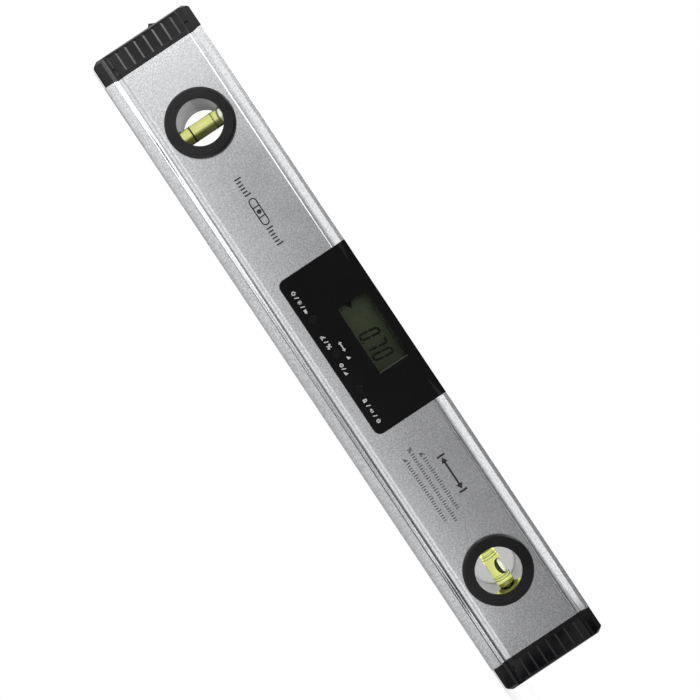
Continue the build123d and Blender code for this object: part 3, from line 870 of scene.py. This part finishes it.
    def ticks(self, left: float, right: float, low: float, height: float, pitch: float) -> None:
        """Draw a strip of scale lines, the first of each group at full height.

        Args:
            left: Where the strip starts.
            right: Where it may not go past.
            low: Lower end of the lines.
            height: Height of the longest lines.
            pitch: Distance from line to line.
        """
        for step in range(int((right - left) / pitch) + 1):
            reach = height * self.tick_short if step % self.tick_group else height
            place = left + step * pitch
            self.bar((place, low), (place, low + reach), pitch * self.tick_width)

    def piece(self, finish: SolidFinish, slot: str) -> Piece:
        """Finish the art as one piece of the fixed body."""
        return mesh_piece(self.name, self.mesh, finish, FIXED_BODY)


SEGMENTS_LIT = {"0": "abcdef", "7": "abc"}


@dataclass(frozen=True)
class SegmentFigure:
    """A leaning figure of display segments. Sizes are in millimetres, the lean is a share of the height."""

    width: float = 3.3
    height: float = 10.8
    lean: float = 0.13
    line: float = 1.25
    gap: float = 0.04

    def ends(self) -> dict[str, tuple[Point, Point]]:
        """Find where the segments start and end.

        Returns:
            Both ends by the segment's letter; the reading lights no middle segment.
        """
        left, right, middle, top = 0.0, self.width, self.height / 2.0, self.height
        return {
            "a": ((left, top), (right, top)), "d": ((left, 0.0), (right, 0.0)),
            "b": ((right, middle), (right, top)), "e": ((left, 0.0), (left, middle)),
            "c": ((right, 0.0), (right, middle)), "f": ((left, middle), (left, top)),
        }

    def draw(self, art: FlatArt, figure: str, left: float, low: float) -> None:
        """Draw a figure.

        Args:
            art: The art that gets it.
            figure: The figure, as a character.
            left: Its lower left corner's x.
            low: Its lower edge.
        """
        ends = self.ends()
        for name in SEGMENTS_LIT[figure]:
            start, end = (Vector(point) for point in ends[name])
            along = (end - start).normalized()
            side = Vector((-along.y, along.x)) * self.line / 2.0
            tip, root = along * self.gap, along * (self.gap + self.line / 2.0)
            corners = (start + tip, start + root - side, end - root - side, end - tip, end - root + side,
                       start + root + side)
            art.shape([(left + p.x + self.lean * p.y, low + p.y) for p in corners])


@dataclass
class BodyFrame:
    """The aluminium profile and the two end caps."""

    def build(self) -> list[Piece]:
        """Dress the profile and its caps."""
        return dress(ALUMINIUM, "body_profile") + dress(CAP_PLASTIC, "left_end_cap", "right_end_cap")


@dataclass
class VialStation:
    """One vial in its bore: rings, sleeve, tube with a painted glow, lines and bubble. Sizes are in
    millimetres.
    """

    name: str
    axis: Axis
    tube_finish: ClearFinish
    sleeve: SolidFinish
    air: AirFinish
    bubble_reach: float
    bubble_radius: float
    bubble_squeeze: Point = (1.0, 1.0)
    bubble_rise: float = 0.0
    end_round: float = 0.6
    bubble_steps: int = 32

    def build(self) -> list[Piece]:
        """Dress the fixed pieces and make the tube with its painted glow, and the bubble.

        Returns:
            The pieces.
        """
        pieces = dress(RING_PLASTIC, f"{self.name}_front_ring", f"{self.name}_rear_ring")
        pieces += dress(self.sleeve, f"{self.name}_sleeve")
        pieces += dress(BLACK_PRINT_AND_SHADE, f"{self.name}_vial_lines")
        pieces += dress(VIAL_PLUG, f"{self.name}_vial_plugs")
        return pieces + [self.tube(), self.bubble()]

    def tube(self) -> Piece:
        """Make the filled tube as one clear solid, because its wall and its liquid bend light alike.

        Returns:
            The piece, which stands for the tube and the liquid.
        """
        low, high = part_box(f"{self.name}_vial_tube")
        along = self.axis.value
        half = (high[along] - low[along]) / MM / 2.0
        radius = (high.y - low.y) / MM / 2.0
        corner = self.end_round
        outline = [(-half, 0.0), (-half, radius - corner), (-half + corner, radius)]
        outline += [(-place, reach) for place, reach in reversed(outline)]
        solid = TurnedPiece(f"{self.name}_vial", self.axis, (low + high) / 2.0, outline)
        piece = solid.piece(self.tube_finish, "vial_liquid")
        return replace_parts(piece, f"{self.name}_vial_tube", f"{self.name}_vial_liquid")

    def bubble(self) -> Piece:
        """Make the bubble, a round form that the tube's wall flattens.

        Returns:
            The piece, which stands for the CAD bubble and moves with it.
        """
        low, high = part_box(f"{self.name}_bubble")
        angles = [math.pi * step / self.bubble_steps for step in range(self.bubble_steps + 1)]
        outline = [(-self.bubble_reach * math.cos(a), self.bubble_radius * math.sin(a)) for a in angles]
        tube_low, tube_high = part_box(f"{self.name}_vial_tube")
        centre = (low + high) / 2.0
        if self.axis is Axis.X:
            centre.z = (tube_low.z + tube_high.z) / 2.0 + self.bubble_rise * MM
        solid = TurnedPiece(f"{self.name}_air", self.axis, centre, outline, self.bubble_squeeze)
        piece = solid.piece(self.air, "vial_air", f"{self.name}_bubble")
        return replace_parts(piece, f"{self.name}_bubble")


@dataclass
class LevelStation(VialStation):
    """The level vial, whose tube ends inside the sleeve and has black ends of painted shade. Sizes are in
    millimetres.
    """

    film: float = 0.2
    film_radius: float = 4.3

    def build(self) -> list[Piece]:
        """Dress and make the vial's pieces, with the black ends of painted shade."""
        return super().build() + [self.painted_shade_end(side) for side in (-1.0, 1.0)]

    def painted_shade_end(self, side: float) -> Piece:
        """Make the black film on one end of the tube, painted shade for the dark gap where it meets the
        sleeve.

        Args:
            side: 1 for the end towards +X, -1 for the other.

        Returns:
            The piece.
        """
        low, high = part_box(f"{self.name}_vial_tube")
        half = (high.x - low.x) / MM / 2.0
        near, far, radius = side * half, side * (half + self.film), self.film_radius
        outline = [(near, 0.0), (near, radius), (far, radius), (far, 0.0)]
        end = "left" if side < 0.0 else "right"
        solid = TurnedPiece(f"{self.name}_vial_{end}_film", self.axis, (low + high) / 2.0, outline)
        return solid.piece(BLACK_PRINT_AND_SHADE, "vial_line")


SignRow = tuple[tuple[float, float, tuple[Icon, ...]], ...]


@dataclass
class DisplayModule:
    """Fascia, keys, display with its figures, and the signs beside the keys. Sizes are in millimetres."""

    reading: str = "0.70"
    figure: SegmentFigure = SegmentFigure()
    figure_left: float = -1.7
    figure_pitch: float = 6.4
    figure_low: float = 1.7
    point_gap: float = 1.5
    point_radius: float = 0.5
    pane_margin: float = 1.5
    pointer_reach: float = 4.0
    pointer_half: float = 2.0
    pointer_rise: float = 6.7
    strip_width: float = 0.6
    strip_back: float = 0.4
    strip_half_depth: float = 0.2
    icon_height: float = 2.3
    lower_row: float = 23.5
    upper_row: float = 29.3
    lower_signs: SignRow = (
        (-41.0, -26.6, (Icon.POWER, Icon.SLASH, Icon.SUN, Icon.SLASH, Icon.BATTERY)),
        (-12.8, -4.2, (Icon.ANGLE, Icon.SLASH, Icon.PERCENT)),
        (5.2, 12.0, (Icon.ZERO, Icon.SLASH, Icon.SLOPE)),
        (27.2, 43.4, (Icon.LOCK, Icon.SLASH, Icon.SPEAKER, Icon.SLASH, Icon.ZERO)),
    )
    upper_signs: SignRow = (
        (-5.0, 1.2, (Icon.ARROWS,)),
        (3.2, 6.0, (Icon.SLOPE,)),
    )

    def build(self) -> list[Piece]:
        """Dress the module's front and add its figures, a painted highlight strip and signs.

        Returns:
            The pieces.
        """
        pieces = dress(FASCIA_GLOSS, "fascia")
        pieces += dress(KEY_RUBBER, "power_button", "unit_button", "hold_button")
        pieces += dress(PANE_CLEAR, "display_window")
        pieces += dress(HOUSING_PLASTIC, "module_housing", "display_bezel")
        pieces += dress(LCD_GLASS, "lcd_panel")
        return pieces + [self.figures(), self.painted_glint_strip(), self.signs()]

    def window(self) -> tuple[float, float, float, float]:
        """Find the visible window, which the pane overlaps by its margin on every side.

        Returns:
            Left, right, lower and upper edge.
        """
        low, high = (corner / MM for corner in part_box("display_window"))
        margin = self.pane_margin
        return low.x + margin, high.x - margin, low.z + margin, high.z - margin

    def figures(self) -> Piece:
        """Draw the reading and the pointer on the front of the display panel.

        Returns:
            The piece.
        """
        left, _, low, _ = self.window()
        art = FlatArt("lcd_figures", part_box("lcd_panel")[0].y / MM)
        place, base = self.figure_left, low + self.figure_low
        for character in self.reading:
            if character == ".":
                point = place - self.figure_pitch + self.figure.width + self.point_gap
                art.disc((point, base), self.point_radius)
                continue
            self.figure.draw(art, character, place, base)
            place += self.figure_pitch
        middle = low + self.pointer_rise
        half = self.pointer_half
        art.shape([(left, middle + half), (left, middle - half), (left + self.pointer_reach, middle)])
        return art.piece(LCD_DARK, "lcd")

    def painted_glint_strip(self) -> Piece:
        """Make the pale strip that closes the window at its right end, a painted highlight on the recess's
        right wall.

        Returns:
            The piece.
        """
        _, right, low, high = self.window()
        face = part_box("display_window")[1].y / MM + self.strip_back
        art = FlatArt("window_painted_glint_strip", face, thickness=self.strip_half_depth, sink=self.strip_half_depth)
        middle = right - self.strip_width / 2.0
        art.bar((middle, low), (middle, high), self.strip_width)
        return art.piece(PAINTED_GLINT_EDGE, "housing_black")

    def signs(self) -> Piece:
        """Draw a row of plain signs beside each key, in white.

        Returns:
            The piece.
        """
        art = FlatArt("key_signs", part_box("fascia")[0].y / MM)
        for middle, signs in ((self.lower_row, self.lower_signs), (self.upper_row, self.upper_signs)):
            for left, right, icons in signs:
                pitch = (right - left) / len(icons)
                for number, icon in enumerate(icons):
                    art.icon(icon, (left + pitch * (number + 0.5), middle), self.icon_height)
        return art.piece(WHITE_INK, "fascia_black")


@dataclass
class BodyMarks:
    """Generic marks printed on the front of the profile. Sizes are in millimetres."""

    panel_depth: float = 12.0
    vial_middle: Point = (-86.25, 32.4)
    vial_half: float = 6.0
    vial_radius: float = 2.0
    vial_line: float = 0.7
    vial_mark: float = 3.0
    vial_dot: float = 1.3
    vial_strips: tuple[Point, ...] = ((-107.0, -96.0), (-76.0, -65.0))
    vial_pitch: float = 2.0
    arrow_span: Point = (75.2, 98.2)
    arrow_rise: Point = (38.3, 43.1)
    arrow_line: float = 1.1
    arrow_head: float = 3.2
    arrow_gap: float = 0.4
    arrow_inset: float = 0.5
    row_height: float = 2.4
    row_pitch: float = 1.5
    rows: tuple[tuple[float, float, float, Icon], ...] = (
        (68.3, 104.6, 33.1, Icon.ANGLE),
        (63.0, 109.6, 28.7, Icon.PERCENT),
        (65.8, 106.4, 24.0, Icon.SLOPE),
    )

    def build(self) -> list[Piece]:
        """Print the marks."""
        return [self.vial_sign(), self.length_sign(), self.scale_rows()]

    def vial_sign(self) -> Piece:
        """Print a vial outline between two strips of scale lines.

        Returns:
            The piece.
        """
        art = FlatArt("vial_sign", -self.panel_depth)
        x, z = self.vial_middle
        half, radius, line = self.vial_half, self.vial_radius, self.vial_line
        for side in (-1.0, 1.0):
            art.bar((x - half, z + side * radius), (x + half, z + side * radius), line)
            art.arc((x + side * half, z), radius, line, -90.0 * side, 180.0)
            mark = x + side * self.vial_mark
            art.bar((mark, z - radius), (mark, z + radius), line)
        art.disc(self.vial_middle, self.vial_dot)
        for left, right in self.vial_strips:
            art.ticks(left, right, z - radius, 2.0 * radius, self.vial_pitch)
        return art.piece(BLACK_INK, "profile")

    def length_sign(self) -> Piece:
        """Print a bold two-way arrow between end bars.

        Returns:
            The piece.
        """
        art = FlatArt("length_sign", -self.panel_depth)
        (left, right), (low, high), line = self.arrow_span, self.arrow_rise, self.arrow_line
        middle, head = (low + high) / 2.0, self.arrow_head
        for end, way in ((left, 1.0), (right, -1.0)):
            edge = end + way * line / 2.0
            art.bar((edge, low), (edge, high), line)
            tip = end + way * (line + self.arrow_gap)
            root = tip + way * head
            corners = [(tip, middle), (root, low + self.arrow_inset), (root, high - self.arrow_inset)]
            art.shape(corners[:: int(way)])
        art.bar((left + line + head, middle), (right - line - head, middle), line)
        return art.piece(BLACK_INK, "profile")

    def scale_rows(self) -> Piece:
        """Print three rows, each a sign with a strip of scale lines.

        Returns:
            The piece.
        """
        art = FlatArt("scale_rows", -self.panel_depth)
        height, pitch = self.row_height, self.row_pitch
        for left, right, middle, icon in self.rows:
            art.icon(icon, (left + height / 2.0, middle), height)
            art.ticks(left + height + pitch, right, middle - height / 2.0, height, pitch)
        return art.piece(GREY_INK, "profile")


@dataclass
class InnerWorks:
    """Electronics and cells behind the display."""

    def build(self) -> list[Piece]:
        """Dress each inner piece.

        Returns:
            The pieces.
        """
        pieces = dress(BACKLIGHT, "backlight") + dress(LED_PLASTIC, "backlight_led")
        pieces += dress(ZEBRA_RUBBER, "zebra_strips") + dress(BOARD_GREEN, "circuit_board")
        pieces += dress(CHIP_BLACK, "microcontroller", "buzzer", "key_switches")
        pieces += dress(STEEL, "board_screws", "tilt_sensor", "battery_contacts", "battery_bridge")
        return pieces + dress(CELL_WRAP, "battery_cells")


@dataclass
class RearSide:
    """Rear cover, its screws, the battery door and its hinge pin, and the grey backing of the level vial."""

    def build(self) -> list[Piece]:
        """Dress each rear piece.

        Returns:
            The pieces.
        """
        pieces = dress(HOUSING_PLASTIC, "rear_cover", "battery_door")
        pieces += dress(STEEL, "cover_screws", "door_hinge_pin")
        return pieces + dress(GREY_BACKING, "level_backing")


@dataclass(frozen=True)
class Lamp:
    """A soft square lamp that looks at a point, and that no surface mirrors. Places are in metres."""

    name: str
    place: Triple
    aim: Triple
    size: float
    power: float

    def build(self) -> None:
        """Make the lamp."""
        data = bpy.data.lights.new(self.name, "AREA")
        data.size = self.size
        data.energy = self.power
        lamp = placed(self.name, data)
        lamp.visible_camera = False
        lamp.visible_glossy = False
        lamp.visible_transmission = False
        lamp.location = self.place
        way = Vector(self.aim) - Vector(self.place)
        lamp.rotation_euler = way.to_track_quat("-Z", "Y").to_euler()


@dataclass(frozen=True)
class FloorFinish(Finish):
    """A pale matt floor that is white to the camera. Places are in metres from the floor's middle.

    Gloss on the level mirrors the floor too: paler at both ends, darker in the middle, bright close to the
    front and dim past the right end.
    """

    color: Color = (0.42, 0.42, 0.42)
    second: Color = (0.40, 0.40, 0.40)
    dim_color: Color = (0.05, 0.05, 0.05)
    grain: float = 40.0
    glow: float = 0.65
    front_middle: float = 0.11
    front_strip: Sweep = Sweep(0.08, 0.12, 1.0, 0.0)
    past_end: Sweep = Sweep(0.200, 0.212)
    left: Sweep = Sweep(-0.34, -0.26, 1.0, 0.48)
    right: Sweep = Sweep(0.10, 0.24, 0.0, 0.42)
    close: Sweep = Sweep(-0.045, -0.028, 1.12, 0.28)
    beyond: Sweep = Sweep(-0.050, -0.098)

    def shader(self, graph: Graph) -> Socket:
        """Add the nodes.

        Args:
            graph: Graph of the material.

        Returns:
            The shader's output.
        """
        color = graph.mix(graph.grain(self.grain)["Broad"], self.color, self.second)
        light = graph.add("ShaderNodeLightPath").outputs
        glossy = light["Is Glossy Ray"]
        place = graph.place()
        depth = graph.math("ABSOLUTE", graph.math("ADD", place["Y"], self.front_middle))
        past_end = graph.within((depth, self.front_strip), (place["X"], self.past_end))
        dim = graph.math("MULTIPLY", past_end, glossy)
        matt = graph.add("ShaderNodeBsdfDiffuse", {"Color": graph.mix(dim, color, self.dim_color)})
        distant = graph.math("ADD", graph.ramp(place["X"], self.left), graph.ramp(place["X"], self.right))
        near = graph.ramp(place["Y"], self.close)
        mirrored = graph.blend(graph.ramp(place["Y"], self.beyond), near, distant)
        mirrored = graph.math("MULTIPLY", mirrored, graph.math("SUBTRACT", 1.0, past_end), glossy)
        seen = graph.math("MAXIMUM", light["Is Camera Ray"], light["Is Transmission Ray"], mirrored)
        glow = graph.add("ShaderNodeEmission", {"Strength": graph.math("MULTIPLY", seen, self.glow)})
        return graph.add("ShaderNodeAddShader", {0: matt.outputs[0], 1: glow.outputs[0]}).outputs[0]


@dataclass(frozen=True)
class Surroundings:
    """Light from all round, white to the camera. A direction's X runs along the level, Y to the rear, Z up.

    Most sweeps change along X. Those named up change along Z, those named depth along Y, and those named out
    with the distance from X = 0.
    """

    soft_light: float = 0.6
    calm: float = 0.5
    key_side: Sweep = Sweep(-0.44, -0.23, 2.1, 0.25)
    middle: Sweep = Sweep(-0.20, 0.02, 0.0, 0.06)
    far_side: Sweep = Sweep(0.0, 0.4, 0.0, 0.10)
    dark: Sweep = Sweep(-0.36, -0.19, 0.9, 0.03)
    dark_up: Sweep = Sweep(0.10, 0.40)
    pale: Sweep = Sweep(-0.30, -0.14, 1.4, 0.03)
    pale_up: Sweep = Sweep(0.40, 0.60)
    flank_out: Sweep = Sweep(0.44, 0.56)
    flank_up: Sweep = Sweep(0.15, 0.27)
    beside_depth: Sweep = Sweep(-0.55, -0.30)
    side: Sweep = Sweep(0.0, 1.0, 0.9, 2.2)
    lit_end: Sweep = Sweep(-0.95, -0.70, 1.0, 0.0)
    lit_end_up: Sweep = Sweep(0.05, 0.15, 1.0, 0.0)
    past_end_out: Sweep = Sweep(0.80, 0.92)
    past_end_up: Sweep = Sweep(0.08, 0.16)
    near_strip: Sweep = Sweep(-0.28, 0.03, 2.15, 0.20)
    far_strip: Sweep = Sweep(0.09, 0.23, 0.0, 1.55)
    strip_end: Sweep = Sweep(0.295, 0.315, 0.0, 1.65)
    end_strip: Sweep = Sweep(-0.34, -0.30, 4.4, 0.0)
    strip_depth: Sweep = Sweep(-0.13, -0.03, 7.0, 0.6)
    above_up: Sweep = Sweep(0.80, 0.90)
    sheen: Sweep = Sweep(-0.14, 0.02, 1.0, 0.0)
    sheen_low_up: Sweep = Sweep(0.52, 0.66, 0.0, 0.86)
    sheen_high_up: Sweep = Sweep(0.93, 0.99, 1.0, 0.0)
    behind_depth: Sweep = Sweep(0.0, 0.2)

    def build(self) -> None:
        """Make the world: what camera, gloss and glass see, and an even soft light for the rest."""
        world = bpy.data.worlds.new("studio_surroundings")
        bpy.context.scene.world = world
        world.use_nodes = True
        graph = Graph(world.node_tree)
        way = graph.place("Generated")
        light = graph.add("ShaderNodeLightPath").outputs
        camera, through = light["Is Camera Ray"], light["Is Transmission Ray"]
        behind = graph.math("MULTIPLY", graph.ramp(way["Y"], self.behind_depth), through)
        level = graph.blend(behind, self.level(graph, way), 1.0)
        shown = graph.math("MAXIMUM", light["Is Glossy Ray"], through, camera)
        white = {"Color": opaque(WHITE)}
        seen = graph.add("ShaderNodeBackground", white | {"Strength": graph.math("MAXIMUM", level, camera)})
        soft = graph.add("ShaderNodeBackground", white | {"Strength": self.soft_light})
        both = graph.add("ShaderNodeMixShader", {0: shown, 1: soft.outputs[0], 2: seen.outputs[0]})
        output = graph.add("ShaderNodeOutputWorld", {"Surface": both.outputs[0]})
        output.is_active_output = True

    def level(self, graph: Graph, way: Sockets) -> Socket:
        """Join the light in front, at the sides and overhead.

        Args:
            graph: Graph of the world.
            way: X, Y and Z outputs of the direction.

        Returns:
            The brightness output.
        """
        aside = graph.math("ABSOLUTE", way["X"])
        flank = graph.within((aside, self.flank_out), (way["Z"], self.flank_up))
        facing = graph.blend(flank, self.front(graph, way), self.calm)
        lit_end = graph.within((way["X"], self.lit_end), (way["Z"], self.lit_end_up))
        past_end = graph.within((aside, self.past_end_out), (way["Z"], self.past_end_up))
        side = graph.blend(past_end, graph.ramp(lit_end, self.side), self.calm)
        around = graph.blend(graph.ramp(way["Y"], self.beside_depth), facing, side)
        sheen_up = graph.within((way["Z"], self.sheen_low_up), (way["Z"], self.sheen_high_up))
        sheen = graph.blend(flank, graph.math("MULTIPLY", sheen_up, graph.ramp(way["X"], self.sheen)), 0.0)
        above = graph.ramp(way["Z"], self.above_up)
        return graph.math("ADD", graph.blend(above, around, self.overhead(graph, way)), sheen)

    def front(self, graph: Graph, way: Sockets) -> Socket:
        """Give the light in front, which falls off from the key side and upwards.

        Args:
            graph: Graph of the world.
            way: X, Y and Z outputs of the direction.

        Returns:
            The brightness output.
        """
        lit = graph.math("ADD", graph.ramp(way["X"], self.key_side), graph.ramp(way["X"], self.middle))
        low = graph.math("SUBTRACT", lit, graph.ramp(way["X"], self.far_side))
        dark, pale = graph.ramp(way["X"], self.dark), graph.ramp(way["X"], self.pale)
        raised = graph.blend(graph.ramp(way["Z"], self.pale_up), dark, pale)
        return graph.blend(graph.ramp(way["Z"], self.dark_up), low, raised)

    def overhead(self, graph: Graph, way: Sockets) -> Socket:
        """Give the light of the strips overhead, which end towards the rear.

        Args:
            graph: Graph of the world.
            way: X, Y and Z outputs of the direction.

        Returns:
            The brightness output.
        """
        strips = [graph.ramp(way["X"], sweep) for sweep in (self.near_strip, self.far_strip, self.end_strip)]
        lit = graph.math("SUBTRACT", graph.math("ADD", *strips), graph.ramp(way["X"], self.strip_end))
        return graph.math("MINIMUM", lit, graph.ramp(way["Y"], self.strip_depth))


@dataclass
class Studio:
    """Camera, lamps, surroundings and floor. Sizes are in metres, those of the sensor in millimetres."""

    photo_tilt: float = 56.32
    camera_reach: float = 0.570
    front_depth: float = 0.0135
    seen_width: float = 0.3721
    foot: Point = (0.0020, 0.0318)
    sensor: float = 36.0
    floor_reach: Point = (0.70, 0.45)
    floor_sides: int = 96
    lamps: tuple[Lamp, ...] = (
        Lamp("key_lamp", (-0.45, -0.55, 0.90), (-0.03, 0.0, 0.03), 0.9, 2.2),
        Lamp("front_lamp", (-0.42, -0.90, 0.66), (0.0, 0.0, 0.04), 0.9, 9.0),
    )

    def build(self) -> None:
        """Set up the whole studio."""
        bpy.context.scene.view_settings.view_transform = "Standard"
        self.camera()
        Surroundings().build()
        self.floor()
        for lamp in self.lamps:
            lamp.build()

    def camera(self) -> None:
        """Set the camera square on to the front, turned as the photograph is."""
        data = bpy.data.cameras.new("photo_camera")
        data.sensor_width = self.sensor
        data.lens = self.sensor * self.camera_reach / self.seen_width
        tilt = math.radians(self.photo_tilt)
        right = Vector((math.cos(tilt), 0.0, math.sin(tilt)))
        up = Vector((-math.sin(tilt), 0.0, math.cos(tilt)))
        turn = Matrix((right, up, right.cross(up))).transposed().to_4x4()
        place = Vector((self.foot[0], -self.front_depth - self.camera_reach, self.foot[1]))
        camera = placed("photo_camera", data)
        camera.matrix_world = Matrix.Translation(place) @ turn
        bpy.context.scene.camera = camera

    def floor(self) -> None:
        """Make the floor, which keeps a soft shadow."""
        mesh = bmesh.new()
        bmesh.ops.create_circle(mesh, cap_ends=True, radius=1.0, segments=self.floor_sides)
        bmesh.ops.scale(mesh, vec=(*self.floor_reach, 1.0), verts=mesh.verts)
        floor = mesh_object("floor", mesh, FloorFinish("pale_floor"))


def main() -> None:
    """Build the sub-assemblies and the studio, and report each piece."""
    logging.basicConfig(level=logging.INFO, format="%(name)s: %(message)s")
    plumb = VialStation(
        "plumb", Axis.Z, PLUMB_PAINTED_GLOW_AND_SHADE, TURNED_SLEEVE, PLUMB_AIR, bubble_reach=2.3, bubble_radius=3.5,
    )
    level = LevelStation(
        "level", Axis.X, LEVEL_PAINTED_GLOW, BRIGHT_SLEEVE, LEVEL_AIR, bubble_reach=4.45, bubble_radius=1.0,
        bubble_squeeze=(2.5, 2.1), bubble_rise=1.75,
    )
    assemblies = (BodyFrame(), plumb, level, DisplayModule(), BodyMarks(), InnerWorks(), RearSide())
    for assembly in assemblies:
        for piece in assembly.build():
            LOG.info("%s: %s", type(assembly).__name__, piece.name)
    Studio().build()


if __name__ == "__main__":
    main()
